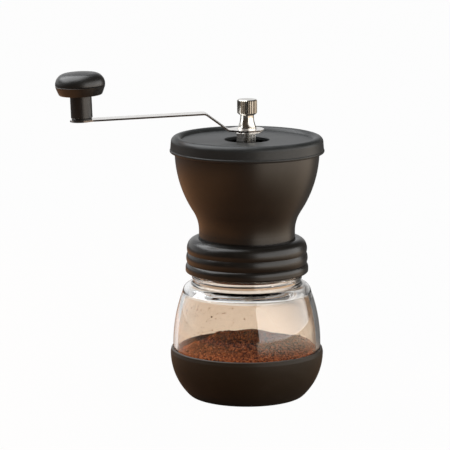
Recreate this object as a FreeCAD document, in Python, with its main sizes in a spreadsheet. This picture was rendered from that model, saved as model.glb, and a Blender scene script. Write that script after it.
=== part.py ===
import FreeCAD, Part
import Sketcher
import math
import os

# Hand crank coffee grinder, in millimetres. The origin is the centre of the boot's
# underside, +Z is up along the drive shaft and the crank points along -X at rest.

Vector = FreeCAD.Vector
Rotation = FreeCAD.Rotation
UP = Vector(0, 0, 1)
LEANING_AXIS = Vector(0, -1, 0)

DRIVING_SIZES = {
    # jar, boot and the coffee in it
    "boot_radius": 45.5,
    "boot_widest_height": 27,
    "boot_side_round": 35.7,
    "boot_bend_angle": 45.3,
    "boot_wall": 1.5,
    "boot_height": 29.5,
    "boot_rim_inset": 0.4,
    "boot_rim_round": 0.7,
    "boot_clearance": 0.1,
    "glass_wall": 2.4,
    "jar_belly_height": 32,
    "jar_side_round": 90,
    "jar_shoulder_radius": 38.3,
    "jar_shoulder_height": 63.5,
    "jar_shoulder_round": 5.2,
    "jar_crest_radius": 33.9,
    "jar_crest_height": 68.2,
    "neck_radius": 32,
    "neck_fillet": 1.8,
    "neck_fillet_round": 2,
    "neck_inner_round": 2.6,
    "neck_bore_radius": 29,
    "neck_bead_height": 72.2,
    "neck_bead_half_width": 1.3,
    "neck_bead_round": 1.5,
    "lip_height": 86.5,
    "lip_round": 1,
    "coffee_clearance": 0.3,
    "coffee_peak_height": 37.6,
    "coffee_crown_radius": 14,
    "coffee_slope_round": 130,
    "coffee_crown_round": 28,
    "crown_flat_radius": 1,
    # screw thread between the jar's neck and the collar
    "thread_pitch": 6,
    "thread_root_width": 2.6,
    "thread_crest_width": 1.2,
    "thread_depth": 1.1,
    "thread_sink": 0.4,
    "thread_start_height": 77.4,
    "thread_rise": 7,
    "collar_thread_rise": 5,
    # gasket and collar
    "gasket_thickness": 1.5,
    "gasket_inner_radius": 29.4,
    "gasket_outer_radius": 32.4,
    "collar_bottom": 75.2,
    "collar_bore_radius": 33.6,
    "collar_corner": 1.2,
    "collar_lowest_radius": 36.5,
    "collar_lowest_side": 78,
    "collar_lowest_notch": 80.8,
    "collar_rib_root": 35.35,
    "collar_rib_round": 6.6,
    "collar_rib_pitch": 6.3,
    "collar_rib_taper": 0.05,
    "collar_shoulder_height": 91.95,
    "collar_shoulder_round": 5.5,
    "collar_top": 95.75,
    "collar_top_radius": 29.6,
    "collar_hopper_gap": 0.2,
    # hopper
    "hopper_bottom": 84,
    "hopper_neck_radius": 28.5,
    "hopper_wall": 2.2,
    "hopper_flange_radius": 33.2,
    "hopper_flange_thickness": 1.5,
    "hopper_ledge_height": 91,
    "hopper_ledge_radius": 25,
    "hopper_neck_height": 100,
    "hopper_flare_round": 22,
    "hopper_flare_angle": 33,
    "hopper_bowl_round": 66.9,
    "hopper_bowl_radius": 42.8,
    "hopper_bowl_height": 146,
    "hopper_rim_radius": 43,
    "hopper_rim_height": 152.5,
    # hopper lid
    "lid_hole_radius": 13.2,
    "lid_hole_round": 0.6,
    "lid_skirt_bore": 43.6,
    "lid_skirt_bottom": 146.9,
    "lid_lip_radius": 45.75,
    "lid_lip_height": 1.9,
    "lid_lip_round": 1,
    "lid_skirt_radius": 45.4,
    "lid_edge_radius": 45.07,
    "lid_edge_round": 3.3,
    "lid_rim_height": 156.5,
    "lid_rim_radius": 42,
    "lid_rim_inner_radius": 41,
    "lid_disc_radius": 38.4,
    "lid_disc_height": 154.5,
    "lid_slope_round": 4,
    # bridge with the column that guides the shaft, and its bushes
    "bridge_ring_radius": 26.1,
    "bridge_ring_bore": 21.4,
    "bridge_ring_height": 6,
    "bridge_arm_width": 5,
    "bridge_arm_count": 3,
    "bridge_arm_sink": 1,
    "column_radius": 8,
    "column_bore": 6.3,
    "column_top": 141.2,
    "bush_clearance": 0.02,
    "bush_length": 9,
    "bush_flange_radius": 7.8,
    "bush_flange_thickness": 1.2,
    # burrs, their carrier and what holds them
    "carrier_radius": 24.9,
    "carrier_bore": 20.6,
    "carrier_bottom": 72,
    "carrier_lip": 1.5,
    "carrier_lip_bore": 17.8,
    "screw_circle_radius": 22.95,
    "screw_radius": 1,
    "screw_hole_radius": 1.1,
    "screw_length": 22,
    "screw_head_radius": 1.7,
    "screw_head_height": 1.4,
    "screw_slot_width": 0.5,
    "screw_slot_depth": 0.6,
    "ring_burr_radius": 20.5,
    "ring_burr_top": 88,
    "ring_burr_mouth_radius": 18.6,
    "ring_burr_throat_height": 75.6,
    "ring_burr_throat_radius": 15.8,
    "ring_burr_exit_radius": 16.3,
    "ring_burr_tooth_depth": 0.9,
    "ring_burr_tooth_count": 24,
    "inner_burr_bottom": 70.5,
    "inner_burr_radius": 16.4,
    "inner_burr_step_height": 75,
    "inner_burr_step_radius": 15.2,
    "inner_burr_top": 83,
    "inner_burr_top_radius": 8.6,
    "inner_burr_tooth_depth": 1.8,
    "inner_burr_tooth_count": 12,
    "inner_burr_bore": 4.05,
    "burr_twist": 24,
    "driver_radius": 11,
    "driver_thickness": 2,
    "driver_key_across": 12,
    "driver_key_height": 2.6,
    "key_clearance": 0.1,
    "burr_nut_across": 8,
    "burr_nut_thickness": 3,
    "spring_radius": 6.3,
    "spring_wire": 0.8,
    "spring_turns": 3,
    "spring_washer_thickness": 0.7,
    "spring_washer_radius": 7.4,
    # drive shaft and what is on its upper end
    "shaft_radius": 5.1,
    "shaft_running_clearance": 0.05,
    "shaft_lower_radius": 4,
    "shaft_lower_across": 6.5,
    "shaft_stud_radius": 2.5,
    "shaft_stud_bottom": 65,
    "shaft_across_flats": 8.6,
    "flats_outer_radius": 7.5,
    "shaft_square_top": 160.7,
    "shaft_thread_bottom": 143.7,
    "shaft_thread_pitch": 1.25,
    "shaft_thread_depth": 0.6,
    "shaft_thread_half_width": 0.525,
    "stub_radius": 2.95,
    "stub_top": 174.5,
    "thrust_washer_thickness": 1,
    "thrust_washer_radius": 8.6,
    "adjusting_nut_thickness": 4.8,
    "adjusting_nut_radius": 8.4,
    "adjusting_nut_notch": 1.1,
    "adjusting_nut_notch_count": 12,
    "lock_plate_thickness": 0.8,
    "lock_plate_radius": 9,
    "lock_ear_width": 4.6,
    "lock_ear_inner": 9.1,
    "lock_ear_bottom": 146,
    "lock_ear_azimuth": 239,
    "square_clearance": 0.06,
    # crank arm
    "arm_tab_bottom": 159.8,
    "arm_thickness": 1,
    "arm_tab_radius": 10,
    "arm_half_width": 4.9,
    "arm_rise_start": 11.5,
    "arm_rise_end": 25.2,
    "arm_rise_angle": 36.3,
    "arm_fall_angle": 2.4,
    "arm_bend_round": 3,
    "arm_eye_radius": 7,
    "arm_corner_round": 5,
    "arm_trim_reach": 200,
    "arm_trim_height": 40,
    "crank_radius": 97.45,
    # thumb nut
    "nut_washer_thickness": 0.5,
    "nut_skirt_radius": 5.45,
    "nut_skirt_round": 14,
    "nut_waist_radius": 4,
    "nut_waist_height": 169,
    "nut_head_bottom": 169.8,
    "nut_head_radius": 5.9,
    "nut_head_chamfer": 0.6,
    "nut_top": 178.3,
    "nut_bore_top": 175.2,
    "nut_bore_radius": 3,
    "knurl_depth": 0.32,
    "knurl_half_width": 0.64,
    "knurl_count": 30,
    # knob, measured from the arm's top face along the knob's own axis
    "knob_washer_radius": 5.9,
    "knob_washer_thickness": 0.8,
    "knob_gap": 0.15,
    "pin_radius": 2.5,
    "pin_hole_radius": 2.75,
    "pin_head_radius": 3.8,
    "pin_head_thickness": 1.5,
    "pin_rivet_radius": 4,
    "pin_rivet_height": 0.3,
    "pin_rivet_round": 2,
    "pin_top": 17.9,
    "stem_radius": 6.35,
    "stem_top": 14.6,
    "knob_under_radius": 12.95,
    "knob_under_round": 1.2,
    "knob_under_rise": 0.9,
    "knob_radius": 14.65,
    "knob_lower_round": 40,
    "knob_seam_height": 20.25,
    "knob_seam_groove": 0.35,
    "knob_cavity_radius": 8,
    "knob_cavity_depth": 4,
    "knob_plug_length": 1.2,
    "knob_widest_height": 20.85,
    "knob_crown_radius": 8.5,
    "knob_crown_height": 27.5,
    "knob_crown_round": 6.5,
    "knob_top": 28.2,
    "knob_top_round": 51,
}


class Size:
    """A length with the sheet formula it comes from."""

    def __init__(self, value, formula):
        self.value = value
        self.formula = formula

    def joined(self, sign, other, value):
        return Size(value, f"({self.formula} {sign} {as_size(other).formula})")

    def __add__(self, other):
        return self.joined("+", other, self.value + as_size(other).value)

    def __sub__(self, other):
        return self.joined("-", other, self.value - as_size(other).value)

    def __mul__(self, other):
        return self.joined("*", other, self.value * as_size(other).value)

    def __truediv__(self, other):
        return self.joined("/", other, self.value / as_size(other).value)

    def __neg__(self):
        return Size(-self.value, f"(0 - {self.formula})")

    def __rsub__(self, other):
        return as_size(other) - self

    __radd__ = __add__
    __rmul__ = __mul__


def as_size(number):
    if isinstance(number, Size):
        return number
    return Size(float(number), repr(float(number)))


def sine(angle):
    return Size(math.sin(math.radians(angle.value)), f"sin({angle.formula} * 1 deg)")


def cosine(angle):
    return Size(math.cos(math.radians(angle.value)), f"cos({angle.formula} * 1 deg)")


def tangent(angle):
    return sine(angle) / cosine(angle)


def root(area):
    return Size(math.sqrt(area.value), f"sqrt({area.formula})")


def fill_sheet(sheet):
    for row, (alias, number) in enumerate(DRIVING_SIZES.items(), start=1):
        sheet.set(f"A{row}", alias)
        sheet.set(f"B{row}", str(number))
        sheet.setAlias(f"B{row}", alias)
    doc.recompute()


class Sizes:
    """Reads a driving size from the sheet by its alias."""

    def __getattr__(self, alias):
        return Size(float(getattr(sheet, alias)), f"{sheet.Name}.{alias}")


doc = FreeCAD.newDocument("coffee_grinder")
sheet = doc.addObject("Spreadsheet::Sheet", "sizes")
fill_sheet(sheet)
d = Sizes()


def bind(target, prop, number):
    """Sets a property to a number, or ties it to the sheet's formula."""
    if isinstance(number, Size):
        target.setExpression(prop, number.formula)
    else:
        setattr(target, prop, number)


# Sketches

def new_sketch(body, name, plane, lift=None):
    sketch = body.newObject("Sketcher::SketchObject", name)
    support = [item for item in body.Origin.OriginFeatures if item.Role == plane]
    sketch.AttachmentSupport = [(support[0], "")]
    sketch.MapMode = "FlatFace"
    if lift is not None:
        sketch.AttachmentOffset = FreeCAD.Placement(Vector(0, 0, lift.value), Rotation())
        sketch.setExpression("AttachmentOffset.Base.z", lift.formula)
    return sketch


def fix_length(sketch, kind, places, number):
    size = as_size(number)
    index = sketch.addConstraint(Sketcher.Constraint(kind, *places, size.value))
    if isinstance(number, Size):
        sketch.setExpression(f"Constraints[{index}]", size.formula)


def arc_between(start, end, radius):
    """Arc from start to end, as a sketch keeps it: anticlockwise. A positive radius turns left."""
    if radius < 0:
        return arc_between(end, start, -radius)
    chord = end - start
    half = chord.Length / 2
    left = Vector(-chord.y, chord.x, 0).normalize()
    centre = (start + end) / 2 + left * math.sqrt(radius * radius - half * half)
    first = math.atan2(start.y - centre.y, start.x - centre.x)
    last = math.atan2(end.y - centre.y, end.x - centre.x)
    if last < first:
        last += 2 * math.pi
    return Part.ArcOfCircle(Part.Circle(centre, UP, radius), first, last)


def add_outline(sketch, points):
    """Closed outline. A point is (x, y), or (x, y, radius) where an arc leads up to it."""
    corners = [Vector(as_size(p[0]).value, as_size(p[1]).value, 0) for p in points]
    ends = []
    first = sketch.GeometryCount
    for index, point in enumerate(points):
        start = corners[index - 1]
        end = corners[index]
        if len(point) == 2:
            edge = sketch.addGeometry(Part.LineSegment(start, end), False)
            ends.append((edge, 1, 2))
            continue
        radius = as_size(point[2]).value
        edge = sketch.addGeometry(arc_between(start, end, radius), False)
        ends.append((edge, 1, 2) if radius > 0 else (edge, 2, 1))
    for index, point in enumerate(points):
        edge, _, tip = ends[index]
        following, tail, _ = ends[(index + 1) % len(points)]
        sketch.addConstraint(Sketcher.Constraint("Coincident", edge, tip, following, tail))
        fix_length(sketch, "DistanceX", (-1, 1, edge, tip), point[0])
        fix_length(sketch, "DistanceY", (-1, 1, edge, tip), point[1])
        if len(point) == 3:
            radius = point[2]
            bend = radius if as_size(radius).value > 0 else -radius
            fix_length(sketch, "Radius", (first + index,), bend)


def add_circle(sketch, radius, x=0, y=0):
    centre = Vector(as_size(x).value, as_size(y).value, 0)
    edge = sketch.addGeometry(Part.Circle(centre, UP, as_size(radius).value), False)
    fix_length(sketch, "DistanceX", (-1, 1, edge, 3), x)
    fix_length(sketch, "DistanceY", (-1, 1, edge, 3), y)
    fix_length(sketch, "Radius", (edge,), radius)


def backwards(points):
    """The same stretch of an outline walked the other way; it starts with a plain point."""
    walked = []
    for index in range(len(points) - 1, -1, -1):
        after = points[index + 1] if index + 1 < len(points) else ()
        place = points[index][:2]
        walked.append(place + (-after[2],) if len(after) == 3 else place)
    return walked


def polygon(half_across, sides, turn=0):
    """Corners of a regular polygon with the given distance from its centre to its sides."""
    reach = half_across / math.cos(math.pi / sides)
    angles = [2 * math.pi * index / sides + math.radians(turn) for index in range(sides)]
    return [(reach * math.cos(angle), reach * math.sin(angle)) for angle in angles]


# Features

def new_body(label):
    body = doc.addObject("PartDesign::Body", label)
    body.Label = label
    return body


def add_turned(body, name, points, kind="PartDesign::Revolution"):
    sketch = new_sketch(body, name + "_outline", "XZ_Plane")
    add_outline(sketch, points)
    feature = body.newObject(kind, name)
    feature.Profile = sketch
    feature.ReferenceAxis = (sketch, ["V_Axis"])
    feature.Angle = 360
    return feature


def turned(label, points):
    body = new_body(label)
    add_turned(body, label + "_turned", points)
    return body


def ring(label, bore, radius, bottom, top):
    return turned(label, [(bore, bottom), (radius, bottom), (radius, top), (bore, top)])


def add_pad(body, name, sketch, length):
    pad = body.newObject("PartDesign::Pad", name)
    pad.Profile = sketch
    bind(pad, "Length", length)
    return pad


def add_cut(body, name, sketch, length):
    """Cuts upwards from the sketch."""
    pocket = body.newObject("PartDesign::Pocket", name)
    pocket.Profile = sketch
    pocket.Type = "Length"
    pocket.Reversed = True
    bind(pocket, "Length", length)
    return pocket


def add_polar(body, name, feature, count):
    pattern = body.newObject("PartDesign::PolarPattern", name)
    pattern.Originals = [feature]
    axis = [item for item in body.Origin.OriginFeatures if item.Role == "Z_Axis"]
    pattern.Axis = (axis[0], [""])
    pattern.Angle = 360
    bind(pattern, "Occurrences", count)
    body.Tip = pattern
    return pattern


def add_helix(body, name, points, pitch, rise, kind="PartDesign::AdditiveHelix"):
    sketch = new_sketch(body, name + "_profile", "XZ_Plane")
    add_outline(sketch, points)
    helix = body.newObject(kind, name)
    helix.Profile = sketch
    helix.ReferenceAxis = (sketch, ["V_Axis"])
    helix.Mode = 0
    bind(helix, "Pitch", pitch)
    bind(helix, "Height", rise)
    helix.Angle = 0
    return helix


def shaped(label, shape):
    part = doc.addObject("Part::Feature", label)
    part.Label = label
    part.Shape = shape
    return part


# Jar, boot and coffee: the three share one rounded bowl side

def bowl_side(inset):
    """From the flat foot up to the widest height, moved inwards by the inset."""
    lean = d.boot_bend_angle
    bend_height = d.boot_widest_height - d.boot_side_round * sine(lean)
    foot_round = bend_height / (1 - sine(lean))
    bend_radius = d.boot_radius - d.boot_side_round * (1 - cosine(lean))
    foot_radius = bend_radius - foot_round * cosine(lean)
    return [
        (foot_radius, as_size(inset)),
        (bend_radius - inset * cosine(lean), bend_height + inset * sine(lean), foot_round - inset),
        (d.boot_radius - inset, d.boot_widest_height, d.boot_side_round - inset),
    ]


def make_boot():
    rim = d.boot_radius - d.boot_rim_inset
    bore = d.boot_radius - d.boot_wall
    return turned("jar_boot", [(0, 0)] + bowl_side(0) + [
        (rim, d.boot_height - d.boot_rim_round),
        (rim - d.boot_rim_round, d.boot_height, d.boot_rim_round),
        (bore, d.boot_height),
    ] + backwards(bowl_side(d.boot_wall)) + [(0, d.boot_wall)])


def make_jar():
    outside = d.boot_wall + d.boot_clearance
    inside = outside + d.glass_wall
    outer_side = bowl_side(outside)
    inner_side = bowl_side(inside)
    bead = d.neck_bead_half_width
    fillet_top = d.jar_crest_height + d.neck_fillet
    inner_crest = (d.neck_bore_radius + d.neck_fillet, d.jar_crest_height - d.glass_wall)
    inner_shoulder = (d.jar_shoulder_radius - d.glass_wall, d.jar_shoulder_height - d.lip_round)
    body = turned("glass_jar", [(0, outside)] + outer_side + [
        (d.boot_radius - outside, d.jar_belly_height),
        (d.jar_shoulder_radius, d.jar_shoulder_height, d.jar_side_round),
        (d.jar_crest_radius, d.jar_crest_height, d.jar_shoulder_round),
        (d.neck_radius, fillet_top, -d.neck_fillet_round),
        (d.neck_radius, d.neck_bead_height - bead),
        (d.neck_radius, d.neck_bead_height + bead, d.neck_bead_round),
        (d.neck_radius, d.lip_height - d.lip_round),
        (d.neck_radius - d.lip_round, d.lip_height, d.lip_round),
        (d.neck_bore_radius + d.lip_round, d.lip_height),
        (d.neck_bore_radius, d.lip_height - d.lip_round, d.lip_round),
        (d.neck_bore_radius, d.jar_crest_height),
        inner_crest + (d.neck_inner_round,),
        inner_shoulder + (-d.jar_shoulder_round,),
        (d.boot_radius - inside, d.jar_belly_height, -d.jar_side_round),
    ] + backwards(inner_side) + [(0, inside)])
    sunk = d.neck_radius - d.thread_sink
    add_helix(body, "jar_thread", [
        (sunk, d.thread_start_height - d.thread_root_width / 2),
        (d.neck_radius + d.thread_depth, d.thread_start_height - d.thread_crest_width / 2),
        (d.neck_radius + d.thread_depth, d.thread_start_height + d.thread_crest_width / 2),
        (sunk, d.thread_start_height + d.thread_root_width / 2),
    ], d.thread_pitch, d.thread_rise)
    return body


def make_coffee():
    inset = d.boot_wall + d.boot_clearance + d.glass_wall + d.coffee_clearance
    crown_fall = d.coffee_crown_radius * d.coffee_crown_radius / (d.coffee_crown_round * 2)
    return turned("ground_coffee", [(0, inset)] + bowl_side(inset) + [
        (d.coffee_crown_radius, d.coffee_peak_height - crown_fall, -d.coffee_slope_round),
        (d.crown_flat_radius, d.coffee_peak_height, d.coffee_crown_round),
        (0, d.coffee_peak_height),
    ])


# Gasket, collar and hopper

def make_gasket():
    return ring("jar_gasket", d.gasket_inner_radius, d.gasket_outer_radius,
                d.lip_height, d.lip_height + d.gasket_thickness)


def flange_bottom():
    return d.lip_height + d.gasket_thickness


def flange_top():
    return flange_bottom() + d.hopper_flange_thickness


def make_collar():
    depth = d.collar_lowest_radius - d.collar_rib_root
    fall = d.collar_lowest_notch - d.collar_lowest_side
    lowest_round = (fall * fall + depth * depth) / (depth * 2)
    upper_notch = d.collar_lowest_notch + d.collar_rib_pitch
    upper_root = d.collar_rib_root - d.collar_rib_taper
    top_root = upper_root - d.collar_rib_taper
    top_bore = d.hopper_neck_radius + d.collar_hopper_gap
    body = turned("screw_collar", [
        (d.collar_bore_radius, d.collar_bottom),
        (d.collar_lowest_radius - d.collar_corner, d.collar_bottom),
        (d.collar_lowest_radius, d.collar_bottom + d.collar_corner, d.collar_corner),
        (d.collar_lowest_radius, d.collar_lowest_side),
        (d.collar_rib_root, d.collar_lowest_notch, lowest_round),
        (upper_root, upper_notch, d.collar_rib_round),
        (top_root, d.collar_shoulder_height, d.collar_rib_round),
        (d.collar_top_radius, d.collar_top, d.collar_shoulder_round),
        (top_bore, d.collar_top - d.collar_hopper_gap),
        (top_bore, flange_top()),
        (d.collar_bore_radius, flange_top()),
    ])
    start = d.thread_start_height + d.thread_pitch / 2
    sunk = d.collar_bore_radius + d.thread_sink
    edge = d.collar_bore_radius - d.thread_depth
    add_helix(body, "collar_thread", [
        (edge, start - d.thread_crest_width / 2),
        (sunk, start - d.thread_root_width / 2),
        (sunk, start + d.thread_root_width / 2),
        (edge, start + d.thread_crest_width / 2),
    ], d.thread_pitch, d.collar_thread_rise)
    return body


def hopper_side(inset):
    """From the top of the neck to the top of the bowl, moved inwards by the inset."""
    lean = d.hopper_flare_angle
    flare_radius = d.hopper_neck_radius + d.hopper_flare_round * (1 - cosine(lean))
    flare_height = d.hopper_neck_height + d.hopper_flare_round * sine(lean)
    return [
        (d.hopper_neck_radius - inset, d.hopper_neck_height),
        (flare_radius - inset * cosine(lean), flare_height + inset * sine(lean),
         -(d.hopper_flare_round + inset)),
        (d.hopper_bowl_radius - inset, d.hopper_bowl_height, d.hopper_bowl_round - inset),
        (d.hopper_rim_radius - inset, d.hopper_rim_height),
    ]


def make_hopper():
    bore = d.hopper_neck_radius - d.hopper_wall
    return turned("hopper", [
        (d.hopper_ledge_radius, d.hopper_bottom),
        (d.hopper_neck_radius, d.hopper_bottom),
        (d.hopper_neck_radius, flange_bottom()),
        (d.hopper_flange_radius, flange_bottom()),
        (d.hopper_flange_radius, flange_top()),
        (d.hopper_neck_radius, flange_top()),
    ] + hopper_side(0) + backwards(hopper_side(d.hopper_wall)) + [
        (bore, d.hopper_ledge_height),
        (d.hopper_ledge_radius, d.hopper_ledge_height),
    ])


def make_lid():
    lip_middle = d.lid_skirt_bottom + d.lid_lip_height / 2
    lip_top = d.lid_skirt_bottom + d.lid_lip_height
    skirt_top = d.lid_rim_height - d.lid_edge_round
    return turned("hopper_lid", [
        (d.lid_hole_radius, d.hopper_rim_height),
        (d.lid_skirt_bore, d.hopper_rim_height),
        (d.lid_skirt_bore, lip_middle),
        (d.lid_skirt_bore + d.lid_hole_round, d.lid_skirt_bottom),
        (d.lid_lip_radius - d.lid_lip_round, d.lid_skirt_bottom),
        (d.lid_lip_radius, lip_middle, d.lid_lip_round),
        (d.lid_skirt_radius, lip_top, d.lid_lip_round),
        (d.lid_edge_radius, skirt_top),
        (d.lid_rim_radius, d.lid_rim_height, d.lid_edge_round),
        (d.lid_rim_inner_radius, d.lid_rim_height),
        (d.lid_disc_radius, d.lid_disc_height, d.lid_slope_round),
        (d.lid_hole_radius + d.lid_hole_round, d.lid_disc_height),
        (d.lid_hole_radius, d.lid_disc_height - d.lid_hole_round, d.lid_hole_round),
    ])


# Bridge and bushes

def screw_places():
    """Three screws on one circle, each midway between two arms of the bridge."""
    step = 360 / sheet.bridge_arm_count
    angles = [math.radians(step * (index + 0.5)) for index in range(int(sheet.bridge_arm_count))]
    return [(d.screw_circle_radius * math.cos(a), d.screw_circle_radius * math.sin(a)) for a in angles]


def add_screw_holes(body, bottom, length):
    sketch = new_sketch(body, body.Label + "_screw_places", "XY_Plane", bottom)
    for x, y in screw_places():
        add_circle(sketch, d.screw_hole_radius, x, y)
    add_cut(body, body.Label + "_screw_holes", sketch, length)


def make_bridge():
    body = new_body("shaft_bridge")
    bottom = d.hopper_ledge_height
    add_turned(body, "bridge_column", [
        (d.column_bore, bottom),
        (d.column_radius, bottom),
        (d.column_radius, d.column_top),
        (d.column_bore, d.column_top),
    ])
    sketch = new_sketch(body, "bridge_arm_outline", "XY_Plane", bottom)
    half = d.bridge_arm_width / 2
    inner = d.column_radius - d.bridge_arm_sink
    outer = d.bridge_ring_bore + d.bridge_arm_sink
    add_outline(sketch, [(inner, -half), (outer, -half), (outer, half), (inner, half)])
    arm = add_pad(body, "bridge_arm", sketch, d.bridge_ring_height)
    add_polar(body, "bridge_arms", arm, d.bridge_arm_count)
    add_turned(body, "bridge_ring", [
        (d.bridge_ring_bore, bottom),
        (d.bridge_ring_radius, bottom),
        (d.bridge_ring_radius, bottom + d.bridge_ring_height),
        (d.bridge_ring_bore, bottom + d.bridge_ring_height),
    ])
    add_screw_holes(body, bottom, d.bridge_ring_height)
    return body


def make_bushes():
    bore = d.shaft_radius + d.shaft_running_clearance
    radius = d.column_bore - d.bush_clearance
    top = d.column_top
    bottom = d.hopper_ledge_height
    turned("upper_bush", [
        (bore, top - d.bush_length),
        (radius, top - d.bush_length),
        (radius, top),
        (d.bush_flange_radius, top),
        (d.bush_flange_radius, top + d.bush_flange_thickness),
        (bore, top + d.bush_flange_thickness),
    ])
    turned("lower_bush", [
        (bore, bottom - d.bush_flange_thickness),
        (d.bush_flange_radius, bottom - d.bush_flange_thickness),
        (d.bush_flange_radius, bottom),
        (radius, bottom),
        (radius, bottom + d.bush_length),
        (bore, bottom + d.bush_length),
    ])


# Burrs

def tooth_section(crest, valley, height, count, turn):
    """One star shaped wire: crests and valleys by turns around the axis."""
    points = []
    for index in range(2 * count):
        angle = math.radians(turn) + math.pi * index / count
        radius = valley if index % 2 else crest
        points.append(Vector(radius * math.cos(angle), radius * math.sin(angle), height))
    return Part.makePolygon(points + points[:1])


def toothed(levels, depth, count):
    """Solid with twisted teeth through levels of (height, crest radius)."""
    bottom = levels[0][0]
    span = levels[-1][0] - bottom
    sections = []
    for height, crest in levels:
        turn = sheet.burr_twist * (height - bottom) / span
        sections.append(tooth_section(crest, crest - depth, height, int(count), turn))
    return Part.makeLoft(sections, True, True)


def square_prism(half_across, bottom, height, turn=45):
    corners = [Vector(x, y, bottom) for x, y in polygon(half_across, 4, turn)]
    face = Part.Face(Part.makePolygon(corners + corners[:1]))
    return face.extrude(UP * height)


def make_inner_burr():
    levels = [
        (sheet.inner_burr_bottom, sheet.inner_burr_radius),
        (sheet.inner_burr_step_height, sheet.inner_burr_step_radius),
        (sheet.inner_burr_top, sheet.inner_burr_top_radius),
    ]
    burr = toothed(levels, sheet.inner_burr_tooth_depth, sheet.inner_burr_tooth_count)
    height = sheet.inner_burr_top - sheet.inner_burr_bottom
    bore = Part.makeCylinder(sheet.inner_burr_bore, height, Vector(0, 0, sheet.inner_burr_bottom))
    key_half = sheet.driver_key_across / 2 + sheet.key_clearance
    key_depth = sheet.driver_key_height + sheet.key_clearance
    key_seat = square_prism(key_half, sheet.inner_burr_bottom, key_depth)
    return shaped("inner_burr", burr.cut(bore).cut(key_seat))


def make_ring_burr():
    bottom = sheet.carrier_bottom + sheet.carrier_lip
    depth = sheet.ring_burr_tooth_depth
    levels = [
        (bottom, sheet.ring_burr_exit_radius + depth),
        (sheet.ring_burr_throat_height, sheet.ring_burr_throat_radius + depth),
        (sheet.ring_burr_top, sheet.ring_burr_mouth_radius + depth),
    ]
    height = sheet.ring_burr_top - bottom
    blank = Part.makeCylinder(sheet.ring_burr_radius, height, Vector(0, 0, bottom))
    hollow = toothed(levels, depth, sheet.ring_burr_tooth_count)
    return shaped("ring_burr", blank.cut(hollow))


def make_carrier():
    top = d.hopper_ledge_height
    seat = d.carrier_bottom + d.carrier_lip
    body = turned("burr_carrier", [
        (d.carrier_lip_bore, d.carrier_bottom),
        (d.carrier_radius, d.carrier_bottom),
        (d.carrier_radius, top),
        (d.carrier_bore, top),
        (d.carrier_bore, seat),
        (d.carrier_lip_bore, seat),
    ])
    add_screw_holes(body, d.carrier_bottom, top - d.carrier_bottom)
    return body


def make_screws():
    screws = []
    head_bottom = sheet.carrier_bottom - sheet.screw_head_height
    for x, y in screw_places():
        head_place = Vector(x.value, y.value, head_bottom)
        shank_place = Vector(x.value, y.value, sheet.carrier_bottom)
        head = Part.makeCylinder(sheet.screw_head_radius, sheet.screw_head_height, head_place)
        slot_corner = head_place - Vector(sheet.screw_head_radius, sheet.screw_slot_width / 2, 0)
        slot = Part.makeBox(sheet.screw_head_radius * 2, sheet.screw_slot_width,
                            sheet.screw_slot_depth, slot_corner)
        shank = Part.makeCylinder(sheet.screw_radius, sheet.screw_length, shank_place)
        screws.append(head.cut(slot).fuse(shank).removeSplitter())
    return shaped("carrier_screws", Part.makeCompound(screws))


def make_driver():
    """Disc below the inner burr, with a square key that stands up into it."""
    body = new_body("burr_driver")
    top = d.inner_burr_bottom
    bottom = top - d.driver_thickness
    bore = d.shaft_stud_radius + d.key_clearance
    add_turned(body, "driver_disc", [
        (bore, bottom),
        (d.driver_radius, bottom),
        (d.driver_radius, top),
        (bore, top),
    ])
    sketch = new_sketch(body, "driver_key_outline", "XY_Plane", top)
    add_outline(sketch, polygon(d.driver_key_across / 2, 4, 45))
    add_outline(sketch, polygon(d.shaft_lower_across / 2 + d.square_clearance, 4, 45))
    add_pad(body, "driver_key", sketch, d.driver_key_height)
    return body


def make_burr_nut():
    body = new_body("burr_nut")
    bottom = d.inner_burr_bottom - d.driver_thickness - d.burr_nut_thickness
    sketch = new_sketch(body, "burr_nut_outline", "XY_Plane", bottom)
    add_outline(sketch, polygon(d.burr_nut_across / 2, 6))
    add_circle(sketch, d.shaft_stud_radius + d.bush_clearance)
    add_pad(body, "burr_nut_block", sketch, d.burr_nut_thickness)
    return body


# Burr spring: one wire wound on arcs of a quarter turn

def helix_place(angle, radius, bottom, rise_per_turn):
    height = bottom + rise_per_turn * angle / (2 * math.pi)
    return Vector(radius * math.cos(angle), radius * math.sin(angle), height)


def helix_heading(angle, radius, rise_per_turn):
    slope = rise_per_turn / (2 * math.pi)
    return Vector(-radius * math.sin(angle), radius * math.cos(angle), slope).normalize()


def tangent_arc(start, heading, end):
    chord = end - start
    lean = heading.getAngle(chord)
    along = Vector(chord).normalize()
    across = (heading - along * heading.dot(along)).normalize()
    middle = (start + end) / 2 + across * (chord.Length / 2 * math.tan(lean / 2))
    return Part.Arc(start, middle, end).toShape()


def two_arcs(start, start_heading, end, end_heading):
    """Two arcs that leave and arrive along the given headings and meet smoothly."""
    chord = end - start
    both = start_heading + end_heading
    open_share = 2 * (1 - start_heading.dot(end_heading))
    reach = math.sqrt(chord.dot(both) ** 2 + open_share * chord.dot(chord))
    handle = (reach - chord.dot(both)) / open_share
    meeting = (start + end + (start_heading - end_heading) * handle) / 2
    first = tangent_arc(start, start_heading, meeting)
    second = tangent_arc(end, -end_heading, meeting)
    return [first, second]


def least_coil_gap(points, wire, turn_steps):
    """Smallest clear distance between stretches of wire that are half a turn or more apart."""
    gaps = []
    for index, point in enumerate(points):
        for other in points[index + turn_steps // 2:]:
            gaps.append(point.distanceToPoint(other) - wire)
    return min(gaps)


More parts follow.
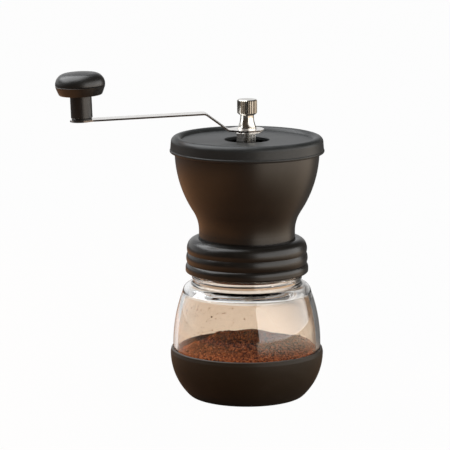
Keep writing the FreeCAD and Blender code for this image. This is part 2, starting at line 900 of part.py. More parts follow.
def make_spring():
    wire = sheet.spring_wire
    bottom = sheet.inner_burr_top + wire / 2
    top = sheet.hopper_ledge_height - sheet.bush_flange_thickness - sheet.spring_washer_thickness
    rise = (top - wire / 2 - bottom) / sheet.spring_turns
    quarters = int(sheet.spring_turns * 4)
    edges = []
    for index in range(quarters):
        here = index * math.pi / 2
        there = here + math.pi / 2
        edges += two_arcs(
            helix_place(here, sheet.spring_radius, bottom, rise),
            helix_heading(here, sheet.spring_radius, rise),
            helix_place(there, sheet.spring_radius, bottom, rise),
            helix_heading(there, sheet.spring_radius, rise),
        )
    steps = 36
    samples = int(sheet.spring_turns * steps) + 1
    points = [helix_place(2 * math.pi * i / steps, sheet.spring_radius, bottom, rise) for i in range(samples)]
    print("spring: least gap between turns", round(least_coil_gap(points, wire, steps), 2), "mm")
    start = helix_place(0, sheet.spring_radius, bottom, rise)
    section = Part.Circle(start, helix_heading(0, sheet.spring_radius, rise), wire / 2).toShape()
    spine = Part.Wire(Part.__sortEdges__(edges))
    return shaped("burr_spring", spine.makePipeShell([Part.Wire([section])], True, False))


def make_spring_washer():
    top = d.hopper_ledge_height - d.bush_flange_thickness
    bore = d.shaft_radius + d.shaft_running_clearance
    return ring("spring_washer", bore, d.spring_washer_radius, top - d.spring_washer_thickness, top)


# Drive shaft and what is on its upper end

def thrust_bottom():
    return d.column_top + d.bush_flange_thickness


def adjusting_bottom():
    return thrust_bottom() + d.thrust_washer_thickness


def add_flats(body, name, bottom, length, across, turn):
    """Cuts a stretch of the shaft to a square with rounded corners."""
    sketch = new_sketch(body, name + "_outline", "XY_Plane", bottom)
    add_circle(sketch, d.flats_outer_radius)
    add_outline(sketch, polygon(across / 2, 4, turn))
    add_cut(body, name, sketch, length)


def make_shaft():
    body = turned("drive_shaft", [
        (0, d.shaft_stud_bottom),
        (d.shaft_stud_radius, d.shaft_stud_bottom),
        (d.shaft_stud_radius, d.inner_burr_bottom),
        (d.shaft_lower_radius, d.inner_burr_bottom),
        (d.shaft_lower_radius, d.inner_burr_top),
        (d.shaft_radius, d.inner_burr_top),
        (d.shaft_radius, d.shaft_square_top),
        (d.stub_radius, d.shaft_square_top),
        (d.stub_radius, d.stub_top - d.shaft_thread_depth),
        (d.stub_radius - d.shaft_thread_depth, d.stub_top),
        (0, d.stub_top),
    ])
    start = d.shaft_thread_bottom
    outside = d.shaft_radius + d.shaft_thread_depth / 2
    add_helix(body, "shaft_thread", [
        (d.shaft_radius - d.shaft_thread_depth, start),
        (outside, start - d.shaft_thread_half_width),
        (outside, start + d.shaft_thread_half_width),
    ], d.shaft_thread_pitch, d.shaft_square_top - start, "PartDesign::SubtractiveHelix")
    add_flats(body, "upper_flats", start, d.shaft_square_top - start, d.shaft_across_flats, 0)
    add_flats(body, "lower_flats", d.inner_burr_bottom, d.driver_key_height, d.shaft_lower_across, 45)
    return body


def make_thrust_washer():
    bore = d.shaft_radius + d.shaft_running_clearance
    return ring("thrust_washer", bore, d.thrust_washer_radius, thrust_bottom(), adjusting_bottom())


def make_adjusting_nut():
    body = new_body("adjusting_nut")
    sketch = new_sketch(body, "adjusting_nut_outline", "XY_Plane", adjusting_bottom())
    add_circle(sketch, d.adjusting_nut_radius)
    add_circle(sketch, d.shaft_radius + d.shaft_running_clearance)
    add_pad(body, "adjusting_nut_block", sketch, d.adjusting_nut_thickness)
    notch = new_sketch(body, "adjusting_nut_notch_outline", "XY_Plane", adjusting_bottom())
    add_circle(notch, d.adjusting_nut_notch, d.adjusting_nut_radius)
    cut = add_cut(body, "adjusting_nut_notch_cut", notch, d.adjusting_nut_thickness)
    add_polar(body, "adjusting_nut_notches", cut, d.adjusting_nut_notch_count)
    return body


def square_hole():
    return d.shaft_across_flats / 2 + d.square_clearance


def make_lock_plate():
    """Flat plate on the shaft's flats; its ear is bent down past the adjusting nut."""
    body = new_body("lock_plate")
    bottom = d.arm_tab_bottom - d.lock_plate_thickness
    sketch = new_sketch(body, "lock_plate_outline", "XY_Plane", bottom)
    add_circle(sketch, d.lock_plate_radius)
    add_outline(sketch, polygon(square_hole(), 4, -sheet.lock_ear_azimuth))
    add_pad(body, "lock_plate_disc", sketch, d.lock_plate_thickness)
    ear = new_sketch(body, "lock_ear_outline", "XZ_Plane")
    inside = d.lock_ear_inner
    outside = inside + d.lock_plate_thickness
    bend = d.lock_plate_thickness
    add_outline(ear, [
        (d.lock_plate_radius - bend * 2, bottom),
        (inside, bottom),
        (inside, d.lock_ear_bottom),
        (outside, d.lock_ear_bottom),
        (outside, bottom),
        (outside - bend, d.arm_tab_bottom, bend),
        (d.lock_plate_radius - bend * 2, d.arm_tab_bottom),
    ])
    pad = add_pad(body, "lock_ear", ear, d.lock_ear_width)
    pad.SideType = "Symmetric"
    body.Placement = FreeCAD.Placement(Vector(), Rotation(UP, sheet.lock_ear_azimuth))
    return body


# Crank arm: a flat strip with two bends, cut to its outline and pierced

def arm_corners(lift):
    """Places of the two bends on the strip's lower face, or on a face lifted by its thickness."""
    rise = d.arm_rise_angle
    fall = d.arm_fall_angle
    first_reach = d.arm_rise_start - lift * tangent(rise / 2)
    second_reach = d.arm_rise_end - lift * sine((rise - fall) / 2) / cosine((rise + fall) / 2)
    first_height = d.arm_tab_bottom + lift
    second_height = first_height + (second_reach - first_reach) * tangent(rise)
    return first_reach, first_height, second_reach, second_height


def arm_face(lift):
    """One face of the strip from the tab outwards along -X, with its bends rounded."""
    rise = d.arm_rise_angle
    fall = d.arm_fall_angle
    first_reach, first_height, second_reach, second_height = arm_corners(lift)
    first_round = d.arm_bend_round + d.arm_thickness - lift
    second_round = d.arm_bend_round + lift
    first_cut = first_round * tangent(rise / 2)
    second_cut = second_round * tangent((rise + fall) / 2)
    tip_reach = d.crank_radius + d.arm_eye_radius + d.arm_thickness
    tip_height = second_height - (tip_reach - second_reach) * tangent(fall)
    return [
        (-(first_reach - first_cut), first_height),
        (-(first_reach + first_cut * cosine(rise)), first_height + first_cut * sine(rise), -first_round),
        (-(second_reach - second_cut * cosine(rise)), second_height - second_cut * sine(rise)),
        (-(second_reach + second_cut * cosine(fall)), second_height - second_cut * sine(fall), second_round),
        (-tip_reach, tip_height),
    ]


def blend_places(radius):
    """Where the round corner between a disc and the strip's side meets the side and the disc."""
    reach = radius + d.arm_corner_round
    side = d.arm_half_width + d.arm_corner_round
    along = root(reach * reach - side * side)
    return along, along * radius / reach, side * radius / reach


def arm_plan():
    """The strip's outline from above: a round tab, straight sides and a round eye."""
    half = d.arm_half_width
    tab = d.arm_tab_radius
    eye = d.arm_eye_radius
    corner = -d.arm_corner_round
    tab_along, tab_x, tab_y = blend_places(tab)
    eye_along, eye_x, eye_y = blend_places(eye)
    return [
        (-tab_along, -half),
        (-tab_x, -tab_y, corner),
        (0, -tab, tab),
        (tab, 0, tab),
        (0, tab, tab),
        (-tab_x, tab_y, tab),
        (-tab_along, half, corner),
        (eye_along - d.crank_radius, half),
        (eye_x - d.crank_radius, eye_y, corner),
        (-(d.crank_radius + eye), 0, eye),
        (eye_x - d.crank_radius, -eye_y, eye),
        (eye_along - d.crank_radius, -half, corner),
    ]


def make_arm():
    body = new_body("crank_arm")
    side = new_sketch(body, "arm_side", "XZ_Plane")
    tab_end = d.arm_tab_radius + d.arm_thickness
    upper = arm_face(d.arm_thickness)
    lower = backwards(arm_face(as_size(0)))
    top = d.arm_tab_bottom + d.arm_thickness
    add_outline(side, [(tab_end, d.arm_tab_bottom), (tab_end, top)] + upper + lower)
    strip = add_pad(body, "arm_strip", side, tab_end * 2)
    strip.SideType = "Symmetric"
    below = d.arm_tab_bottom - d.arm_tab_radius
    plan = new_sketch(body, "arm_plan", "XY_Plane", below)
    reach = d.arm_trim_reach
    add_outline(plan, [(-reach, -reach), (reach, -reach), (reach, reach), (-reach, reach)])
    add_outline(plan, arm_plan())
    add_cut(body, "arm_trim", plan, d.arm_trim_height)
    holes = new_sketch(body, "arm_holes_outline", "XY_Plane", below)
    add_outline(holes, polygon(square_hole(), 4))
    add_circle(holes, d.pin_hole_radius, -d.crank_radius)
    add_cut(body, "arm_holes", holes, d.arm_trim_height)
    return body


# Thumb nut and its washer

def nut_bottom():
    return d.arm_tab_bottom + d.arm_thickness + d.nut_washer_thickness


def make_nut_washer():
    top = nut_bottom()
    bore = d.stub_radius + d.key_clearance
    return ring("nut_washer", bore, d.nut_skirt_radius, top - d.nut_washer_thickness, top)


def make_thumb_nut():
    head = d.nut_head_radius
    chamfer = d.nut_head_chamfer
    body = turned("thumb_nut", [
        (d.nut_bore_radius, nut_bottom()),
        (d.nut_skirt_radius, nut_bottom()),
        (d.nut_skirt_radius, nut_bottom() + chamfer),
        (d.nut_waist_radius, d.nut_waist_height, -d.nut_skirt_round),
        (head - chamfer, d.nut_head_bottom),
        (head, d.nut_head_bottom + chamfer),
        (head, d.nut_top - chamfer),
        (head - chamfer, d.nut_top),
        (0, d.nut_top),
        (0, d.nut_bore_top),
        (d.nut_bore_radius, d.nut_bore_top),
    ])
    sketch = new_sketch(body, "knurl_outline", "XY_Plane", d.nut_head_bottom)
    mouth = head + d.knurl_depth
    half = d.knurl_half_width
    add_outline(sketch, [(head - d.knurl_depth, 0), (mouth, -half), (mouth, half)])
    groove = add_cut(body, "knurl_groove", sketch, d.nut_top - d.nut_head_bottom)
    add_polar(body, "knurl", groove, d.knurl_count)
    return body


# Knob: built upright, then stood on the outer end of the arm, square to its top face

def stand_on_arm(body):
    _, _, bend_reach, bend_height = arm_corners(d.arm_thickness)
    seat_height = bend_height - (d.crank_radius - bend_reach) * tangent(d.arm_fall_angle)
    seat = Vector(-sheet.crank_radius, 0, seat_height.value)
    body.Placement = FreeCAD.Placement(seat, Rotation(LEANING_AXIS, sheet.arm_fall_angle))
    body.setExpression("Placement.Base.x", (-d.crank_radius).formula)
    body.setExpression("Placement.Base.z", seat_height.formula)


def make_knob():
    washer = ring("knob_washer", d.pin_radius + d.key_clearance, d.knob_washer_radius,
                  0, d.knob_washer_thickness)
    rivet_top = -d.arm_thickness
    rivet_bottom = rivet_top - d.pin_rivet_height
    head_bottom = d.pin_top - d.pin_head_thickness
    pin = turned("knob_pin", [
        (0, rivet_bottom),
        (d.pin_rivet_radius - d.pin_rivet_height, rivet_bottom),
        (d.pin_rivet_radius, rivet_top, d.pin_rivet_round),
        (d.pin_radius, rivet_top),
        (d.pin_radius, head_bottom),
        (d.pin_head_radius, head_bottom),
        (d.pin_head_radius, d.pin_top),
        (0, d.pin_top),
    ])
    bore = d.pin_radius + d.shaft_running_clearance
    stem_bottom = d.knob_washer_thickness + d.knob_gap
    seam_radius = d.knob_radius - d.knob_seam_groove
    cavity_floor = d.knob_seam_height - d.knob_cavity_depth
    under = d.knob_under_radius - d.knob_under_round
    grip = turned("knob_grip", [
        (bore, stem_bottom),
        (d.stem_radius - d.knob_seam_groove, stem_bottom),
        (d.stem_radius, stem_bottom + d.knob_seam_groove),
        (d.stem_radius, d.stem_top),
        (under, d.stem_top),
        (d.knob_under_radius, d.stem_top + d.knob_under_rise, d.knob_under_round),
        (d.knob_radius, d.knob_seam_height - d.knob_seam_groove, d.knob_lower_round),
        (seam_radius, d.knob_seam_height),
        (d.knob_cavity_radius, d.knob_seam_height),
        (d.knob_cavity_radius, cavity_floor),
        (bore, cavity_floor),
    ])
    plug_radius = d.knob_cavity_radius - d.key_clearance
    plug_bottom = d.knob_seam_height - d.knob_plug_length
    cap = turned("knob_cap", [
        (0, plug_bottom),
        (plug_radius, plug_bottom),
        (plug_radius, d.knob_seam_height),
        (seam_radius, d.knob_seam_height),
        (d.knob_radius, d.knob_seam_height + d.knob_seam_groove),
        (d.knob_radius, d.knob_widest_height),
        (d.knob_crown_radius, d.knob_crown_height, d.knob_crown_round),
        (d.crown_flat_radius, d.knob_top, d.knob_top_round),
        (0, d.knob_top),
    ])
    for body in (washer, pin, grip, cap):
        stand_on_arm(body)


def make_all():
    make_boot()
    make_jar()
    make_coffee()
    make_gasket()
    make_collar()
    make_hopper()
    make_lid()
    make_bridge()
    make_bushes()
    make_inner_burr()
    make_ring_burr()
    make_carrier()
    make_screws()
    make_driver()
    make_burr_nut()
    make_spring()
    make_spring_washer()
    make_shaft()
    make_thrust_washer()
    make_adjusting_nut()
    make_lock_plate()
    make_arm()
    make_nut_washer()
    make_thumb_nut()
    make_knob()


def sub_parts():
    """Every body, and every shape that stands on its own."""
    kinds = ("PartDesign::Body", "Part::Feature")
    return [item for item in doc.Objects if item.TypeId in kinds]


def check_parts():
    faults = [item.Label for item in doc.Objects
              if "Invalid" in item.State or "Error" in item.State]
    for part in sub_parts():
        if part.Shape.isNull() or not part.Shape.isValid() or not part.Shape.Solids:
            faults.append(part.Label)
    if faults:
        raise RuntimeError("failed: " + ", ".join(faults))


def write_parts():
    os.makedirs("parts", exist_ok=True)
    for part in sub_parts():
        part.Shape.exportStep(f"parts/{part.Label}.step")
        print(f"{part.Label}: {part.Shape.Volume:.0f} mm3")


make_all()
doc.recompute()
check_parts()
write_parts()
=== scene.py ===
import bmesh
import bpy
import math
import random
from mathutils import Matrix, Vector, noise


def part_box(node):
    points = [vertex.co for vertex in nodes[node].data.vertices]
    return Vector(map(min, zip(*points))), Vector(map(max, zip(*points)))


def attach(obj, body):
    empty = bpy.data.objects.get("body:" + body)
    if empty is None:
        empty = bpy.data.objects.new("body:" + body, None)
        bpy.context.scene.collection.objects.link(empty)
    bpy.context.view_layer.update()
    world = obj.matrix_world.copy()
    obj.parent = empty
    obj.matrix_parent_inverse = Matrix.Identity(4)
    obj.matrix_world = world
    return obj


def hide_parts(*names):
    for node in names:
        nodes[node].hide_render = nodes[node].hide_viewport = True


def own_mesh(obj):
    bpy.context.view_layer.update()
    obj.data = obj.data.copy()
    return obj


# Hand crank coffee grinder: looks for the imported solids. Lengths in the pieces' dictionaries are
# millimetres, as in the part's own drawing; meshes, floor, lamps and camera are in metres.

mm = 0.001
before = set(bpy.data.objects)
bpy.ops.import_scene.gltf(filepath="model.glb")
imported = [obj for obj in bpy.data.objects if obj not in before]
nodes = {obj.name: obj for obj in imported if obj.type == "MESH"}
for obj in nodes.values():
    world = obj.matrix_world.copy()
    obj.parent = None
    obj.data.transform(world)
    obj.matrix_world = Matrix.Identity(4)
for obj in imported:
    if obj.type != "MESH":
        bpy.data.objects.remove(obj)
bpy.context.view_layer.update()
print("frame:", len(nodes), "nodes loaded")


# shader maths: a wrapped socket, and a wrapped material or world

class Value:
    def __init__(self, finish, socket):
        self.finish = finish
        self.socket = socket

    def maths(self, operation, first, second=0):
        return self.finish.node("ShaderNodeMath", {"operation": operation}, {0: first, 1: second})

    def __add__(self, other):
        return self.maths("ADD", self, other)

    __radd__ = __add__

    def __sub__(self, other):
        return self.maths("SUBTRACT", self, other)

    def __rsub__(self, other):
        return self.maths("SUBTRACT", other, self)

    def __mul__(self, other):
        return self.maths("MULTIPLY", self, other)

    def root(self):
        return self.maths("SQRT", self)

    def cosine(self):
        return self.maths("COSINE", self)

    def angleFrom(self, other):
        return self.maths("ARCTAN2", self, other)


class Finish:
    def __init__(self, owner, coords="Object"):
        self.owner = owner
        owner.use_nodes = True
        self.tree = owner.node_tree
        self.tree.nodes.clear()
        self.place = self.node("ShaderNodeTexCoord", {}, {}, coords)

    def node(self, kind, settings, sockets, out=0):
        made = self.tree.nodes.new(kind)
        for key, setting in settings.items():
            if key == "stops":
                self.setStops(made.color_ramp, setting)
            else:
                setattr(made, key, setting)
        for key, value in sockets.items():
            if isinstance(value, Value):
                self.tree.links.new(value.socket, made.inputs[key])
            else:
                made.inputs[key].default_value = value
        return Value(self, made.outputs[out]) if made.outputs else None

    def setStops(self, ramp, stops):
        while len(ramp.elements) < len(stops):
            ramp.elements.new(0.5)
        for element, (position, colour) in zip(ramp.elements, stops):
            element.position = position
            element.color = colour

    def stretched(self, scale):
        return self.node("ShaderNodeMapping", {}, {"Vector": self.place, "Scale": scale})

    def noise(self, scale, detail=3, roughness=0.55, where=None):
        sockets = {"Vector": where or self.place, "Scale": scale, "Detail": detail, "Roughness": roughness}
        return self.node("ShaderNodeTexNoise", {}, sockets)

    def cellTone(self, scale):
        cells = self.node("ShaderNodeTexVoronoi", {}, {"Vector": self.place, "Scale": scale}, "Color")
        return self.node("ShaderNodeSeparateColor", {}, {0: cells}, "Red")

    def span(self, value, low, high, toLow=0.0, toHigh=1.0):
        sockets = {0: value, 1: low, 2: high, 3: toLow, 4: toHigh}
        return self.node("ShaderNodeMapRange", {}, sockets)

    def eased(self, value, low, high):
        sockets = {0: value, 1: low, 2: high}
        return self.node("ShaderNodeMapRange", {"interpolation_type": "SMOOTHSTEP"}, sockets)

    def axis(self, letter, vector=None):
        return self.node("ShaderNodeSeparateXYZ", {}, {0: vector or self.place}, letter)

    def above(self, low, high):
        return self.span(self.axis("Z"), low * mm, high * mm)

    def outside(self, low, high):
        x, y = self.axis("X"), self.axis("Y")
        return self.span(x * x + y * y, (low * mm) ** 2, (high * mm) ** 2)

    def mix(self, factor, first, second):
        return self.node("ShaderNodeMix", {"data_type": "RGBA"}, {0: factor, 6: first, 7: second}, 2)

    def ramp(self, value, stops):
        return self.node("ShaderNodeValToRGB", {"stops": stops}, {0: value})

    def bump(self, height, strength, depth):
        sockets = {"Height": height, "Strength": strength, "Distance": depth * mm}
        return self.node("ShaderNodeBump", {}, sockets)

    def lightPath(self, out):
        return self.node("ShaderNodeLightPath", {}, {}, out)

    def principled(self, sockets):
        return self.node("ShaderNodeBsdfPrincipled", {}, sockets)

    def emission(self, colour, strength):
        return self.node("ShaderNodeEmission", {}, {"Color": colour, "Strength": strength})

    def blended(self, factor, first, second):
        return self.node("ShaderNodeMixShader", {}, {0: factor, 1: first, 2: second})

    def done(self, shader, output="ShaderNodeOutputMaterial"):
        self.node(output, {}, {"Surface": shader})
        return self.owner


def newFinish(name):
    return Finish(bpy.data.materials.new(name))


def dress(names, material):
    for name in names:
        slots = nodes[name].data.materials
        slots.clear()
        slots.append(material)


noiseMiddle = 0.5

# moulded plastics and silicone: cloudy tone, fine moulded grain, faint rubbed streaks

moulding = {"cloudEdges": (0.35, 0.65), "rubEdges": (0.56, 0.72), "rubLift": 0.3}


def mouldedFinish(name, look):
    finish = newFinish(name)
    cloud = finish.noise(look["cloudScale"], detail=4)
    grain = finish.noise(look["grainScale"], detail=2, roughness=0.5)
    along = finish.stretched(look["rubStretch"])
    rub = finish.noise(look["rubScale"], detail=6, roughness=0.7, where=along)
    rubbed = finish.span(rub, *moulding["rubEdges"])
    tone = finish.mix(finish.span(cloud, *moulding["cloudEdges"]), look["dark"], look["light"])
    colour = finish.mix(rubbed * look["rubShare"], tone, look["worn"])
    # a band at the given heights is painted lighter: on the boot this is a painted highlight along the
    # rim's top
    if "lip" in look:
        colour = finish.mix(finish.above(*look["lip"]), colour, look["lipPaintedHighlight"])
    unevenness = (cloud - noiseMiddle) * look["roughSpread"] + rubbed * look["rubRough"]
    height = grain + rubbed * moulding["rubLift"]
    return finish.done(finish.principled({
        "Base Color": colour,
        "Roughness": look["roughness"] + unevenness,
        "Specular IOR Level": look["gloss"],
        "Normal": finish.bump(height, look["grainStrength"], look["grainDepth"]),
    }))


hopperLook = {
    "dark": (0.0062, 0.0046, 0.003, 1),
    "light": (0.0095, 0.007, 0.0048, 1),
    "worn": (0.03, 0.023, 0.017, 1),
    "cloudScale": 28, "grainScale": 2600, "rubScale": 60, "rubStretch": (1, 1, 0.25), "rubShare": 0.25,
    "roughness": 0.33, "roughSpread": 0.06, "rubRough": 0.05, "gloss": 0.48,
    "grainStrength": 0.1, "grainDepth": 0.03,
}
lidLook = {
    "dark": (0.0122, 0.0137, 0.0141, 1),
    "light": (0.0175, 0.0192, 0.0197, 1),
    "worn": (0.048, 0.05, 0.05, 1),
    "cloudScale": 40, "grainScale": 2200, "rubScale": 90, "rubStretch": (0.4, 1, 1), "rubShare": 0.3,
    "roughness": 0.4, "roughSpread": 0.08, "rubRough": 0.06, "gloss": 0.3,
    "grainStrength": 0.12, "grainDepth": 0.04,
}
collarLook = {
    "dark": (0.0055, 0.0046, 0.0038, 1),
    "light": (0.0085, 0.0072, 0.006, 1),
    "worn": (0.03, 0.026, 0.022, 1),
    "cloudScale": 45, "grainScale": 2400, "rubScale": 80, "rubStretch": (1, 1, 3), "rubShare": 0.2,
    "roughness": 0.3, "roughSpread": 0.06, "rubRough": 0.08, "gloss": 0.4,
    "grainStrength": 0.06, "grainDepth": 0.03,
}
knobLook = {
    "dark": (0.0045, 0.0043, 0.004, 1),
    "light": (0.0065, 0.0062, 0.0058, 1),
    "worn": (0.03, 0.03, 0.029, 1),
    "cloudScale": 70, "grainScale": 2800, "rubScale": 140, "rubStretch": (1, 1, 0.5), "rubShare": 0.2,
    "roughness": 0.36, "roughSpread": 0.06, "rubRough": 0.08, "gloss": 0.5,
    "grainStrength": 0.03, "grainDepth": 0.02,
}
siliconeLook = {
    "dark": (0.0155, 0.0107, 0.006, 1),
    "light": (0.0215, 0.0155, 0.0094, 1),
    "worn": (0.048, 0.038, 0.029, 1),
    "cloudScale": 30, "grainScale": 2000, "rubScale": 55, "rubStretch": (1, 1, 2), "rubShare": 0.22,
    "roughness": 0.5, "roughSpread": 0.08, "rubRough": 0.08, "gloss": 0.24,
    "grainStrength": 0.12, "grainDepth": 0.04,
}
# the boot's rim top is painted lighter, a painted highlight on the lip
bootLook = dict(siliconeLook, lip=(28.9, 29.3), lipPaintedHighlight=(0.062, 0.053, 0.046, 1))
gasketLook = dict(
    siliconeLook, dark=(0.5, 0.49, 0.46, 1), light=(0.6, 0.59, 0.56, 1), worn=(0.42, 0.38, 0.33, 1),
)
innerLook = dict(collarLook, roughness=0.45, rubShare=0.3)
ceramicLook = dict(
    lidLook, dark=(0.62, 0.6, 0.56, 1), light=(0.74, 0.72, 0.68, 1), worn=(0.36, 0.24, 0.16, 1),
    rubShare=0.5,
)

dress(["hopper"], mouldedFinish("hopperBrown", hopperLook))
dress(["hopper_lid"], mouldedFinish("lidSlate", lidLook))
dress(["screw_collar"], mouldedFinish("collarBlack", collarLook))
dress(["knob_grip", "knob_cap"], mouldedFinish("knobBlack", knobLook))
dress(["jar_boot"], mouldedFinish("bootSilicone", bootLook))
dress(["shaft_bridge", "burr_carrier", "burr_driver", "upper_bush", "lower_bush", "knob_washer"],
      mouldedFinish("innerBlack", innerLook))
dress(["jar_gasket"], mouldedFinish("gasketPale", gasketLook))
dress(["inner_burr", "ring_burr"], mouldedFinish("burrCeramic", ceramicLook))
print("plastics, silicone and ceramic dressed")


# metals: drawn streaks along one direction, dull patches and fine scratches

drawing = {
    "streakEdges": (0.3, 0.7), "patchEdges": (0.55, 0.75), "scratchEdges": (0.63, 0.7),
    "scratchRough": 0.12, "scratchLift": 0.5, "paintedShadeFacing": (0.3, 0.6),
}


# painted shade: the knurl's grooves on the nut's head are painted darker
def knurlPaintedShade(finish, knurl):
    around = finish.axis("Y").angleFrom(finish.axis("X"))
    wave = (around * knurl["count"]).cosine()
    groove = finish.span(wave, *knurl["grooveEdges"], knurl["crest"], knurl["root"])
    return groove * finish.outside(*knurl["radius"]) * finish.above(*knurl["bottom"])


def metalFinish(name, look):
    finish = newFinish(name)
    along = finish.stretched(look["streakStretch"])
    streak = finish.noise(look["streakScale"], detail=5, roughness=0.65, where=along)
    patch = finish.noise(look["patchScale"], detail=4)
    along = finish.stretched(look["scratchStretch"])
    scratch = finish.noise(look["scratchScale"], detail=2, roughness=0.5, where=along)
    scratched = finish.span(scratch, *drawing["scratchEdges"])
    tone = finish.mix(finish.span(streak, *drawing["streakEdges"]), look["dark"], look["light"])
    tarnished = finish.span(patch, *drawing["patchEdges"]) * look["tarnishShare"]
    colour = finish.mix(tarnished, tone, look["tarnish"])
    # faces turned to the front and back are painted darker: painted shade on the arm's sides
    if "sidePaintedShade" in look:
        facing = finish.axis("Y", finish.node("ShaderNodeTexCoord", {}, {}, "Normal"))
        edge = finish.span(facing * facing, *drawing["paintedShadeFacing"]) * look["sidePaintedShadeShare"]
        colour = finish.mix(edge, colour, look["sidePaintedShade"])
    # the nut's knurl grooves are painted darker, a painted shade
    if "knurl" in look:
        colour = finish.mix(knurlPaintedShade(finish, look["knurl"]), colour, look["knurl"]["grooveShade"])
    unevenness = (streak - noiseMiddle) * look["roughSpread"] + scratched * drawing["scratchRough"]
    height = streak + scratched * drawing["scratchLift"]
    return finish.done(finish.principled({
        "Base Color": colour,
        "Metallic": 1.0,
        "Roughness": look["roughness"] + unevenness,
        "Normal": finish.bump(height, look["streakStrength"], look["streakDepth"]),
    }))


plateLook = {
    "dark": (0.7, 0.68, 0.655, 1), "light": (0.88, 0.86, 0.835, 1), "tarnish": (0.52, 0.46, 0.4, 1),
    "streakScale": 500, "streakStretch": (0.04, 1, 1), "patchScale": 60, "tarnishShare": 0.35,
    "scratchScale": 900, "scratchStretch": (0.12, 1, 1),
    "roughness": 0.24, "roughSpread": 0.14, "streakStrength": 0.12, "streakDepth": 0.02,
}
# the arm's front and back faces are painted dark, a painted shade
armLook = dict(plateLook, sidePaintedShade=(0.055, 0.041, 0.033, 1), sidePaintedShadeShare=0.92)
washerLook = dict(plateLook, roughness=0.4)
turnedLook = dict(plateLook, streakStretch=(0.3, 0.3, 3), scratchStretch=(0.3, 0.3, 3), roughness=0.2)
# on the shaft the streaks run along it with strong contrast: partly the steel's drawn streaks, partly
# painted reflection in dark and bright bands
shaftLook = dict(
    turnedLook, dark=(0.3, 0.28, 0.25, 1), light=(0.9, 0.88, 0.84, 1), streakScale=420,
    streakStretch=(1, 1, 0.06), roughness=0.26,
)
nutLook = {
    "dark": (0.3, 0.285, 0.26, 1), "light": (0.66, 0.64, 0.6, 1), "tarnish": (0.34, 0.31, 0.26, 1),
    "streakScale": 950, "streakStretch": (1, 1, 0.08), "patchScale": 160, "tarnishShare": 0.4,
    "scratchScale": 1500, "scratchStretch": (1, 1, 0.3),
    "roughness": 0.17, "roughSpread": 0.16, "streakStrength": 0.12, "streakDepth": 0.02,
    "knurl": {
        "count": 30, "grooveEdges": (-0.2, 0.8), "crest": 0.4, "root": 0.85,
        "radius": (5.3, 5.5), "bottom": (169.6, 170), "grooveShade": (0.12, 0.11, 0.092, 1),
    },
}

turnedSteel = metalFinish("turnedSteel", turnedLook)
dress(["crank_arm"], metalFinish("armSteel", armLook))
dress(["lock_plate"], metalFinish("plateSteel", plateLook))
dress(["nut_washer"], metalFinish("washerSteel", washerLook))
dress(["thumb_nut"], metalFinish("nutNickel", nutLook))
dress(["drive_shaft"], metalFinish("shaftSteel", shaftLook))
dress(["thrust_washer", "adjusting_nut", "spring_washer", "burr_nut", "carrier_screws", "knob_pin"],
      turnedSteel)
print("metals dressed")


# outlines that are spun round the shaft's axis: a corner's third number is the radius of the arc
# that leads to it, below zero where the arc turns to the right

def arcPoints(start, end, radius, stepAngle):
    chord = end - start
    half = chord.length / 2
    side = math.copysign(1, radius)
    left = Vector((-chord.y, chord.x)).normalized()
    centre = (start + end) / 2 + left * side * math.sqrt(max(radius * radius - half * half, 0))
    sweep = 2 * math.asin(min(half / abs(radius), 1))
    count = max(2, math.ceil(math.degrees(sweep) / stepAngle))
    reach = start - centre
    turns = [Matrix.Rotation(side * sweep * index / count, 2) for index in range(1, count)]
    return [centre + turn @ reach for turn in turns] + [end]


def outlinePoints(corners, stepAngle, longest=None):
    points = []
    for corner in corners:
        place = Vector(corner[:2])
        if len(corner) == 3:
            points += arcPoints(points[-1], place, corner[2], stepAngle)
        elif points and longest:
            span = place - points[-1]
            count = max(1, math.ceil(span.length / longest))
            points += [points[-1] + span * (index / count) for index in range(1, count + 1)]
        else:
            points.append(place)
    return points


def backwards(corners):
    walked = []
    for index in range(len(corners) - 1, -1, -1):
        after = corners[index + 1] if index + 1 < len(corners) else ()
        place = tuple(corners[index][:2])
        walked.append(place + (-after[2],) if len(after) == 3 else place)
    return walked


mergeDistance = 0.0002


def spunShape(points, steps):
    shape = bmesh.new()
    verts = [shape.verts.new((point.x * mm, 0, point.y * mm)) for point in points]
    edges = [shape.edges.new(pair) for pair in zip(verts, verts[1:])]
    bmesh.ops.spin(shape, geom=verts + edges, cent=(0, 0, 0), axis=(0, 0, 1), angle=2 * math.pi,
                   steps=steps, use_merge=True)
    bmesh.ops.remove_doubles(shape, verts=shape.verts, dist=mergeDistance * mm)
    bmesh.ops.recalc_face_normals(shape, faces=shape.faces)
    return shape


def finished(name, shape, material, body, sharpAngle=None):
    mesh = bpy.data.meshes.new(name)
    shape.to_mesh(mesh)
    shape.free()
    mesh.shade_smooth()
    if sharpAngle:
        mesh.set_sharp_from_angle(angle=math.radians(sharpAngle))
    mesh.materials.append(material)
    piece = bpy.data.objects.new(name, mesh)
    bpy.context.collection.objects.link(piece)
    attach(piece, body)
    return piece


# the round bowl that the boot, the jar and the coffee share, each with its own inset

bowl = {"radius": 45.5, "widestHeight": 27, "sideRound": 35.7, "bendAngle": 45.3}


def bowlSide(inset):
    lean = math.radians(bowl["bendAngle"])
    sideRound = bowl["sideRound"]
    bendHeight = bowl["widestHeight"] - sideRound * math.sin(lean)
    footRound = bendHeight / (1 - math.sin(lean))
    bendRadius = bowl["radius"] - sideRound * (1 - math.cos(lean))
    footRadius = bendRadius - footRound * math.cos(lean)
    return [
        (footRadius, inset),
        (bendRadius - inset * math.cos(lean), bendHeight + inset * math.sin(lean), footRound - inset),
        (bowl["radius"] - inset, bowl["widestHeight"], sideRound - inset),
    ]


# glass jar: one clear wall with a bead and a screw thread on its neck

